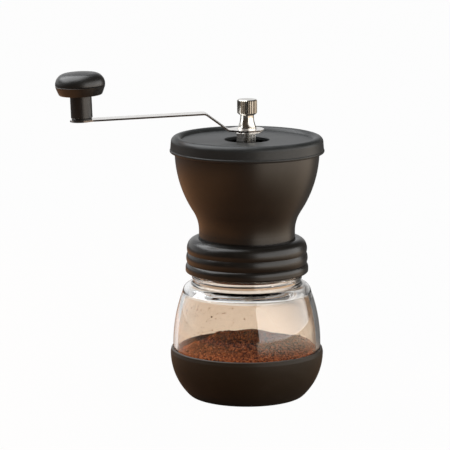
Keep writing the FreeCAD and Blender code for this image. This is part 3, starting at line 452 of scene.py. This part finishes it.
jar = {
    "outerInset": 1.6, "innerInset": 4, "bellyHeight": 32, "sideRound": 90,
    "shoulder": (38.3, 63.5), "shoulderTop": (33.9, 68.2), "shoulderRound": 5.2,
    "neckRadius": 32, "neckFoot": 70, "neckFootRound": 2,
    "beadBottom": 70.9, "beadTop": 73.5, "beadRound": 1.5,
    "boreRadius": 29, "boreFoot": 68.2, "boreTurn": (30.8, 65.8), "boreTurnRound": 2.6,
    "innerShoulder": (35.9, 62.5), "top": 86.5, "lipRound": 1,
    "steps": 192, "arcStep": 3, "neckStep": 0.3, "sharpAngle": 40,
}
thread = {
    "start": 77.4, "pitch": 6, "rise": 7, "depth": 1.1, "rootHalf": 1.3, "crestHalf": 0.6, "runOut": 20,
    "band": (74, 86), "offNeck": 0.02,
}
glass = {
    "colour": (0.985, 0.985, 0.98, 1), "bending": 1.52, "shadowCleared": 0.85,
    "smearScale": 45, "smearEdges": (0.55, 0.8), "smearRough": 0.03,
    "waveScale": 22, "waveStrength": 0.12, "waveDepth": 0.4,
}

insideBelly = Vector((bowl["radius"] - jar["innerInset"], jar["bellyHeight"]))
insideWall = [insideBelly] + arcPoints(insideBelly, Vector(jar["innerShoulder"]), jar["sideRound"], 1)


def wallRadius(height):
    for low, high in zip(insideWall, insideWall[1:]):
        if height <= high.y:
            return low.x + (high.x - low.x) * max(0, (height - low.y) / (high.y - low.y))
    return insideWall[-1].x


def threadHeight(angle, height):
    fullTurns = thread["rise"] / thread["pitch"]
    best = 0
    for turn in range(math.floor(fullTurns) + 1):
        travelled = angle / (2 * math.pi) + turn
        rise = travelled * thread["pitch"]
        if rise > thread["rise"]:
            continue
        fromEnds = min(travelled, fullTurns - travelled) * 360
        fade = min(1, fromEnds / thread["runOut"])
        away = abs(height - thread["start"] - rise)
        slope = (thread["rootHalf"] - away) / (thread["rootHalf"] - thread["crestHalf"])
        best = max(best, min(1, max(0, slope)) * thread["depth"] * fade)
    return best


def raiseThread(shape):
    neck = jar["neckRadius"] * mm
    low, high = [edge * mm for edge in thread["band"]]
    for vert in shape.verts:
        radius = math.hypot(vert.co.x, vert.co.y)
        if abs(radius - neck) > thread["offNeck"] * mm or not low < vert.co.z < high:
            continue
        angle = math.atan2(vert.co.y, vert.co.x) % (2 * math.pi)
        grown = 1 + threadHeight(angle, vert.co.z / mm) * mm / radius
        vert.co.x *= grown
        vert.co.y *= grown


def jarGlass():
    finish = newFinish("jarGlass")
    smear = finish.noise(glass["smearScale"], detail=5, roughness=0.6)
    smeared = finish.span(smear, *glass["smearEdges"])
    waves = finish.noise(glass["waveScale"], detail=2)
    shadow = finish.lightPath("Is Shadow Ray")
    return finish.done(finish.principled({
        "Base Color": glass["colour"],
        "Roughness": smeared * glass["smearRough"],
        "IOR": glass["bending"],
        "Transmission Weight": 1.0,
        "Alpha": 1 - shadow * glass["shadowCleared"],
        "Normal": finish.bump(waves, glass["waveStrength"], glass["waveDepth"]),
    }))


def makeJar():
    neckRadius, boreRadius = jar["neckRadius"], jar["boreRadius"]
    lipRound = jar["lipRound"]
    lipBottom = jar["top"] - lipRound
    outside = [(0, jar["outerInset"])] + bowlSide(jar["outerInset"]) + [
        (bowl["radius"] - jar["outerInset"], jar["bellyHeight"]),
        jar["shoulder"] + (jar["sideRound"],),
        jar["shoulderTop"] + (jar["shoulderRound"],),
        (neckRadius, jar["neckFoot"], -jar["neckFootRound"]),
        (neckRadius, jar["beadBottom"]),
        (neckRadius, jar["beadTop"], jar["beadRound"]),
    ]
    neck = [(neckRadius, jar["beadTop"]), (neckRadius, lipBottom)]
    inside = [
        (neckRadius, lipBottom),
        (neckRadius - lipRound, jar["top"], lipRound),
        (boreRadius + lipRound, jar["top"]),
        (boreRadius, lipBottom, lipRound),
        (boreRadius, jar["boreFoot"]),
        jar["boreTurn"] + (jar["boreTurnRound"],),
        jar["innerShoulder"] + (-jar["shoulderRound"],),
        insideBelly.to_tuple() + (-jar["sideRound"],),
    ] + backwards(bowlSide(jar["innerInset"])) + [(0, jar["innerInset"])]
    points = outlinePoints(outside, jar["arcStep"])
    points += outlinePoints(neck, jar["arcStep"], jar["neckStep"])[1:]
    points += outlinePoints(inside, jar["arcStep"])[1:]
    shape = spunShape(points, jar["steps"])
    raiseThread(shape)
    piece = finished("jar_glass", shape, jarGlass(), "jar", jar["sharpAngle"])
    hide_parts("glass_jar")


makeJar()
print("glass jar made")


# burr spring: one wire wound round the shaft; the real spring shortens as the grind is set finer, while
# this coil keeps the length it is built with

spring = {"wire": 0.8, "turns": 3, "turnSteps": 36, "sides": 12, "squeeze": 1.2, "sharpAngle": 60}


def makeSpring():
    low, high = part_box("burr_spring")
    length = high[2] - low[2]
    half = spring["wire"] * mm / 2
    radius = (high[0] - low[0]) / 2 - half
    steps = spring["turns"] * spring["turnSteps"]
    climb = (length - 2 * half) / steps
    upright = Matrix.Rotation(math.radians(90), 3, "X")
    shape = bmesh.new()
    bmesh.ops.create_circle(shape, segments=spring["sides"], radius=half)
    bmesh.ops.rotate(shape, verts=shape.verts, cent=(0, 0, 0), matrix=upright)
    bmesh.ops.translate(shape, verts=shape.verts, vec=(radius, 0, low[2] + half))
    bmesh.ops.spin(shape, geom=shape.verts[:] + shape.edges[:], cent=(0, 0, 0), axis=(0, 0, 1),
                   dvec=(0, 0, climb), angle=2 * math.pi * spring["turns"], steps=steps)
    bmesh.ops.holes_fill(shape, edges=[edge for edge in shape.edges if edge.is_boundary])
    bmesh.ops.recalc_face_normals(shape, faces=shape.faces)
    piece = finished("burr_coil", shape, turnedSteel, "drive", spring["sharpAngle"])
    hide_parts("burr_spring")
    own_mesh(piece)


makeSpring()
print("burr spring wound")


# ground coffee: a lopsided heap with clumps, loose grains on it and specks on the glass

heap = {
    "inset": 4.4, "steps": 480, "arcStep": 6, "ringStep": 0.33, "topTolerance": 0.01,
    "ridge": [
        (-41, 26.4), (-37, 26.8), (-33, 27.9), (-26, 30.6), (-20, 34.2), (-16, 37), (-9, 37.1), (0, 37.6),
        (7, 37.7), (12, 36.6), (17, 34.8), (23, 33.4), (28, 33.5), (33, 33.5), (38, 31.4), (41, 29.4),
    ],
    "ridgeBack": 6, "ridgeBackMost": 0.5, "frontLevel": 29.3, "backLevel": 24.5,
    "frontFall": 1.35, "backFall": 1.5, "sideLift": 3,
    "bumps": [(7, 0.8, 3), (2, 0.9, 11), (0.95, 0.7, 23)],  # width, height and noise layer
}
grounds = {
    "stops": [
        (0.05, (0.017, 0.004, 0.0014, 1)), (0.25, (0.1, 0.023, 0.0075, 1)),
        (0.45, (0.25, 0.064, 0.02, 1)), (0.75, (0.46, 0.16, 0.066, 1)),
    ],
    "grainScale": 1500, "flakeScale": 1000, "clumpScale": 130, "crumbScale": 430, "fineScale": 2600,
    "toneShares": (0.35, 0.6, 0.4, 0.5),  # of grain, flake, clump and crumb
    "reliefShares": (0.5, 0.4, 0.5, 1, 0.6),  # of fine, grain, flake, crumb and pit
    # the darkness put into the pits is painted shade, and near the glass less of it is painted
    "pitScale": 330, "pitEdges": (0.36, 0.44), "pitPaintedShade": 0.3,
    "paleRim": (29, 39), "rimPale": 0.2, "rimFill": 0.7, "darker": 0.62,
    "roughness": 0.75, "grainRough": 0.25, "gloss": 0.06, "bumpStrength": 0.9, "bumpDepth": 0.7,
}


def ridgeHeight(x):
    points = heap["ridge"]
    for (lowX, lowZ), (highX, highZ) in zip(points, points[1:]):
        if x <= highX:
            share = max(0, (x - lowX) / (highX - lowX))
            share = share * share * (3 - 2 * share)
            return lowZ + (highZ - lowZ) * share
    return points[-1][1]


def heapHeight(x, y):
    rim = bowl["radius"] - heap["inset"]
    reach = math.sqrt(max(rim * rim - x * x, 1))
    crest = min(heap["ridgeBack"], reach * heap["ridgeBackMost"])
    top = ridgeHeight(x)
    if y < crest:
        share, level, fall = (crest - y) / (reach + crest), heap["frontLevel"], heap["frontFall"]
    else:
        share, level, fall = (y - crest) / (reach - crest), heap["backLevel"], heap["backFall"]
    edge = level + (top - level) * min(1, abs(x) / rim) ** heap["sideLift"]
    return top + (edge - top) * min(1, share) ** fall


def roughened(x, y):
    height = heapHeight(x, y)
    for width, rise, layer in heap["bumps"]:
        height += noise.noise(Vector((x / width, y / width, layer))) * rise
    return height


def weighted(shares, *values):
    return sum(value * share for value, share in zip(values, shares))


def coffeeFinish():
    finish = newFinish("coffeeGrounds")
    grain = finish.cellTone(grounds["grainScale"])
    flake = finish.cellTone(grounds["flakeScale"])
    clump = finish.noise(grounds["clumpScale"], detail=5, roughness=0.65)
    crumb = finish.noise(grounds["crumbScale"], detail=3, roughness=0.6)
    fine = finish.noise(grounds["fineScale"], detail=3, roughness=0.6)
    # the pits are the hollows of the relief, and they are painted darker: painted shade in the hollows
    hollow = finish.noise(grounds["pitScale"], detail=2, roughness=0.5)
    pit = finish.span(hollow, *grounds["pitEdges"])
    rim = finish.outside(*grounds["paleRim"])
    tone = weighted(grounds["toneShares"], grain, flake, clump, crumb)
    shade = tone + rim * grounds["rimPale"] - grounds["darker"]
    filled = pit + (1 - pit) * rim * grounds["rimFill"]
    pitShading = grounds["pitPaintedShade"] + filled * (1 - grounds["pitPaintedShade"])
    height = weighted(grounds["reliefShares"], fine, grain, flake, crumb, pit)
    return finish.done(finish.principled({
        "Base Color": finish.ramp(shade * pitShading, grounds["stops"]),
        "Roughness": grounds["roughness"] + grain * grounds["grainRough"],
        "Specular IOR Level": grounds["gloss"],
        "Normal": finish.bump(height, grounds["bumpStrength"], grounds["bumpDepth"]),
    }))


def makeHeap(material):
    inset, level = heap["inset"], bowl["widestHeight"]
    basin = outlinePoints([(0, inset)] + bowlSide(inset), heap["arcStep"])
    top = outlinePoints([(bowl["radius"] - inset, level), (0, level)], heap["arcStep"], heap["ringStep"])
    shape = spunShape(basin + top[1:], heap["steps"])
    for vert in shape.verts:
        if vert.co.z >= (level - heap["topTolerance"]) * mm:
            vert.co.z = roughened(vert.co.x / mm, vert.co.y / mm) * mm
    piece = finished("coffee_heap", shape, material, "jar")
    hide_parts("ground_coffee")


def grainForm():
    ball = bmesh.new()
    bmesh.ops.create_icosphere(ball, subdivisions=1, radius=mm)
    points = [vert.co.copy() for vert in ball.verts]
    faces = [[vert.index for vert in face.verts] for face in ball.faces]
    ball.free()
    return points, faces


def addGrain(shape, form, place):
    points, faces = form
    verts = [shape.verts.new(place @ point) for point in points]
    for face in faces:
        shape.faces.new([verts[index] for index in face])


grains = {
    "small": 3600, "lumps": 700, "seed": 7, "smallSize": (0.2, 0.5), "lumpSize": (0.45, 0.8),
    "width": (0.6, 1), "thickness": (0.5, 0.9), "lift": 0.25, "fromRim": 0.6,
    "mostTurn": 3, "axisRise": 0.3,
}


def makeGrains(material):
    draw = random.Random(grains["seed"])
    form = grainForm()
    shape = bmesh.new()
    rim = bowl["radius"] - heap["inset"] - grains["fromRim"]
    for index in range(grains["small"] + grains["lumps"]):
        reach = rim * math.sqrt(draw.random())
        angle = draw.uniform(0, 2 * math.pi)
        x, y = reach * math.cos(angle), reach * math.sin(angle)
        size = draw.uniform(*grains["smallSize" if index < grains["small"] else "lumpSize"])
        place = Matrix.Translation(Vector((x, y, roughened(x, y) + size * grains["lift"])) * mm)
        turned = draw.uniform(0, grains["mostTurn"])
        axis = Vector((draw.random(), draw.random(), grains["axisRise"])).normalized()
        width = size * draw.uniform(*grains["width"])
        thickness = size * draw.uniform(*grains["thickness"])
        flat = Matrix.Diagonal((size, width, thickness, 1))
        addGrain(shape, form, place @ Matrix.Rotation(turned, 4, axis) @ flat)
    finished("coffee_grains", shape, material, "jar")


specks = {
    "count": 170, "seed": 8, "bottom": 31, "rise": 29, "fromGlass": 0.75,
    "thickness": 0.4, "width": (0.7, 1), "height": (0.7, 1.2),
    "looseSize": (0.12, 0.36), "looseLow": 1.6,
    "thrownEvery": 3, "thrownSize": (0.22, 0.55), "thrownLow": 0.7, "thrownSide": (3.9, 0.35),
}


def makeSpecks(material):
    draw = random.Random(specks["seed"])
    form = grainForm()
    shape = bmesh.new()
    for index in range(specks["count"]):
        thrown = index % specks["thrownEvery"] == 0
        low = specks["thrownLow" if thrown else "looseLow"]
        level = specks["bottom"] + specks["rise"] * draw.random() ** low
        angle = draw.gauss(*specks["thrownSide"]) if thrown else draw.uniform(0, 2 * math.pi)
        size = draw.uniform(*specks["thrownSize" if thrown else "looseSize"])
        width = size * draw.uniform(*specks["width"])
        height = size * draw.uniform(*specks["height"])
        place = Matrix.Translation(Vector((wallRadius(level) - specks["fromGlass"], 0, level)) * mm)
        flat = Matrix.Diagonal((size * specks["thickness"], width, height, 1))
        addGrain(shape, form, Matrix.Rotation(angle, 4, "Z") @ place @ flat)
    finished("glass_specks", shape, material, "jar")


coffee = coffeeFinish()
makeHeap(coffee)
makeGrains(coffee)
makeSpecks(coffee)
print("coffee heaped")


# coffee dust that clings to the inside of the glass: a thin veil, and a denser ring in the neck; the
# veil's clear part is tinted warm all over, partly a film of coffee dust and partly painted light of the
# warm room seen through the glass

veil = {
    "bottom": 27.5, "top": 61.5, "gap": 0.35, "rows": 24, "steps": 128,
    "ring": [(28.6, 68.6), (28.6, 70.9)], "ringAbove": (65, 66), "ringCover": 0.5,
    "seenRoomTint": (0.9, 0.79, 0.68, 1), "dust": (0.5, 0.3, 0.16, 1), "roughness": 0.9, "gloss": 0.1,
    "cloudScale": 60, "cloudEdges": (0.3, 0.75), "cloudCover": (0.02, 0.1), "cloudAbove": (36, 44),
    "speckScale": 900, "speckEdges": (0.66, 0.74), "speckCover": 0.2,
}


def veilFinish():
    finish = newFinish("dustVeil")
    uneven = finish.noise(veil["cloudScale"], detail=5, roughness=0.65)
    cloud = finish.span(uneven, *veil["cloudEdges"], *veil["cloudCover"])
    cloud = cloud * finish.above(*veil["cloudAbove"])
    fine = finish.noise(veil["speckScale"], detail=2, roughness=0.5)
    speck = finish.span(fine, *veil["speckEdges"]) * veil["speckCover"]
    ring = finish.above(*veil["ringAbove"]) * veil["ringCover"]
    # the warm tint is partly coffee dust and partly painted light of the room seen through the glass
    clear = finish.node("ShaderNodeBsdfTransparent", {}, {"Color": veil["seenRoomTint"]})
    dust = finish.principled({
        "Base Color": veil["dust"],
        "Roughness": veil["roughness"],
        "Specular IOR Level": veil["gloss"],
    })
    return finish.done(finish.blended(cloud + speck + ring, clear, dust))


def makeVeil():
    material = veilFinish()
    rise = (veil["top"] - veil["bottom"]) / veil["rows"]
    heights = [veil["bottom"] + rise * row for row in range(veil["rows"] + 1)]
    wall = [Vector((wallRadius(height) - veil["gap"], height)) for height in heights]
    ring = [Vector(corner) for corner in veil["ring"]]
    finished("dust_veil", spunShape(wall, veil["steps"]), material, "jar")
    finished("dust_ring", spunShape(ring, veil["steps"]), material, "jar")


makeVeil()
print("dust veil made")


# the table is white to the eye and a warm tone to what it lights: orange on the left, pale on the
# right, dull far away; mirrors also see the window's glow on its right part, and the glass wall's
# edges bend the sight to its parts behind the grinder, pale on the left and dark on the right

ground = {
    "tones": [
        (0, (0.52, 0.24, 0.1, 1)), (0.28, (0.52, 0.24, 0.1, 1)), (0.43, (0.2, 0.09, 0.037, 1)),
        (0.57, (0.2, 0.1, 0.045, 1)), (0.74, (0.5, 0.36, 0.24, 1)), (1, (0.56, 0.42, 0.29, 1)),
    ],
    "tonesHalf": 0.5, "far": (0.09, 0.088, 0.085, 1), "farReach": (0.42, 0.75),
    "back": (0.04, 0.14), "backHalf": 0.08, "backRight": (0.06, 0.055, 0.05, 1), "backLeftWhite": 0.7,
    "seenWhite": 0.98, "seenWalls": (2.5, 3.5), "mirroredWhite": 0.06,
    "besideEdges": (0.045, 0.11), "besideShare": 0.12,
    "glow": (1, 0.82, 0.64, 1), "glowStrength": 1.9, "glowReach": (0.19, 0.5),
    "glowStart": (0.13, 0.2), "glowEnd": (2.15, 1.85),  # angles from the front, to the right
    "radius": 9, "segments": 96, "drop": 0.00005,
}


def floorFinish():
    finish = newFinish("floorWhite")
    x, y = finish.axis("X"), finish.axis("Y")
    reach = (x * x + y * y).root()
    # sight that has gone through fewer glass faces than the jar has is bent or mirrored in its wall
    through = finish.lightPath("Is Transmission Ray")
    behind = finish.span(finish.lightPath("Transmission Depth"), *ground["seenWalls"])
    beside = finish.span(x, *ground["besideEdges"], 1, ground["besideShare"])
    bent = through * (1 - behind)
    seen = finish.lightPath("Is Camera Ray") + through * behind * beside
    mirrored = finish.lightPath("Is Glossy Ray") + bent
    back = finish.span(y, *ground["back"])
    backLeft = back * finish.span(x, 0, -ground["backHalf"])
    backRight = back * finish.span(x, 0, ground["backHalf"])
    across = finish.span(x, -ground["tonesHalf"], ground["tonesHalf"])
    near = finish.mix(backRight, finish.ramp(across, ground["tones"]), ground["backRight"])
    tone = finish.mix(finish.span(reach, *ground["farReach"]), near, ground["far"])
    matt = finish.principled({"Base Color": tone, "Roughness": 1.0, "Specular IOR Level": 0.0})
    white = seen * ground["seenWhite"] + mirrored * ground["mirroredWhite"]
    white = white + bent * backLeft * ground["backLeftWhite"]
    plain = finish.blended(white, matt, finish.emission((1, 1, 1, 1), 1))
    turned = x.angleFrom(y * -1)
    sector = finish.span(turned, *ground["glowStart"]) * finish.span(turned, *ground["glowEnd"])
    glowing = mirrored * sector * finish.span(reach, *ground["glowReach"])
    glow = finish.emission(ground["glow"], ground["glowStrength"])
    return finish.done(finish.blended(glowing, plain, glow))


def makeFloor():
    shape = bmesh.new()
    bmesh.ops.create_circle(shape, cap_ends=True, segments=ground["segments"], radius=ground["radius"])
    mesh = bpy.data.meshes.new("floor")
    shape.to_mesh(mesh)
    shape.free()
    mesh.materials.append(floorFinish())
    floor = bpy.data.objects.new("floor", mesh)
    floor.location.z = -ground["drop"]
    bpy.context.collection.objects.link(floor)


# the room is dim on the camera's side and at the right and pale behind the grinder, palest low down

room = {
    "front": (0.1, 0.078, 0.058, 1), "right": (0.1, 0.09, 0.08, 1),
    "low": (0.92, 0.92, 0.92, 1), "high": (0.42, 0.43, 0.45, 1),
    "frontEdges": (-0.35, 0.75), "rightEdges": (0.15, 0.55), "highEdges": (0.2, 0.45),
}


def makeWorld():
    studio = Finish(bpy.data.worlds.new("studio"), "Generated")
    behind = studio.mix(studio.eased(studio.axis("Z"), *room["highEdges"]), room["low"], room["high"])
    beside = studio.mix(studio.eased(studio.axis("X"), *room["rightEdges"]), behind, room["right"])
    around = studio.mix(studio.eased(studio.axis("Y"), *room["frontEdges"]), room["front"], beside)
    light = studio.node("ShaderNodeBackground", {}, {"Color": around})
    bpy.context.scene.world = studio.done(light, "ShaderNodeOutputWorld")


lamps = {
    "windowRight": {
        "place": (1.465, -0.3, 0.5), "aim": (0.385, 0.51, 0.095), "size": (3.8, 1.0),
        "power": 33, "colour": (1, 0.985, 0.96),
    },
    "skyLeft": {
        "place": (-0.5, 0.2, 1.04), "aim": (0, 0, 0.095), "size": (1.2, 1.3),
        "power": 24, "colour": (0.97, 0.985, 1),
    },
}


def makeLamps():
    for name, lamp in lamps.items():
        light = bpy.data.lights.new(name, "AREA")
        light.shape = "RECTANGLE"
        light.size, light.size_y = lamp["size"]
        light.energy = lamp["power"]
        light.color = lamp["colour"]
        item = bpy.data.objects.new(name, light)
        item.location = lamp["place"]
        sight = Vector(lamp["aim"]) - Vector(lamp["place"])
        item.rotation_euler = sight.to_track_quat("-Z", "Y").to_euler()
        item.visible_camera = False
        bpy.context.collection.objects.link(item)


view = {
    "distance": 1.7, "height": 0.4087, "azimuth": -7.0, "pitch": 10.191, "yaw": 0.4392,
    "lens": 232.93, "sensor": 36, "nearest": 0.05, "farthest": 40,
}


def makeCamera():
    data = bpy.data.cameras.new("viewer")
    data.lens = view["lens"]
    data.sensor_width = view["sensor"]
    data.clip_start = view["nearest"]
    data.clip_end = view["farthest"]
    turn = math.radians(view["azimuth"])
    distance = view["distance"]
    camera = bpy.data.objects.new("viewer", data)
    camera.location = (distance * math.sin(turn), -distance * math.cos(turn), view["height"])
    camera.rotation_euler = (math.radians(90 - view["pitch"]), 0, turn + math.radians(view["yaw"]))
    bpy.context.collection.objects.link(camera)
    bpy.context.scene.camera = camera


makeFloor()
makeWorld()
makeLamps()
makeCamera()
bpy.context.scene.view_settings.view_transform = "Standard"
print("stage, light and camera set")
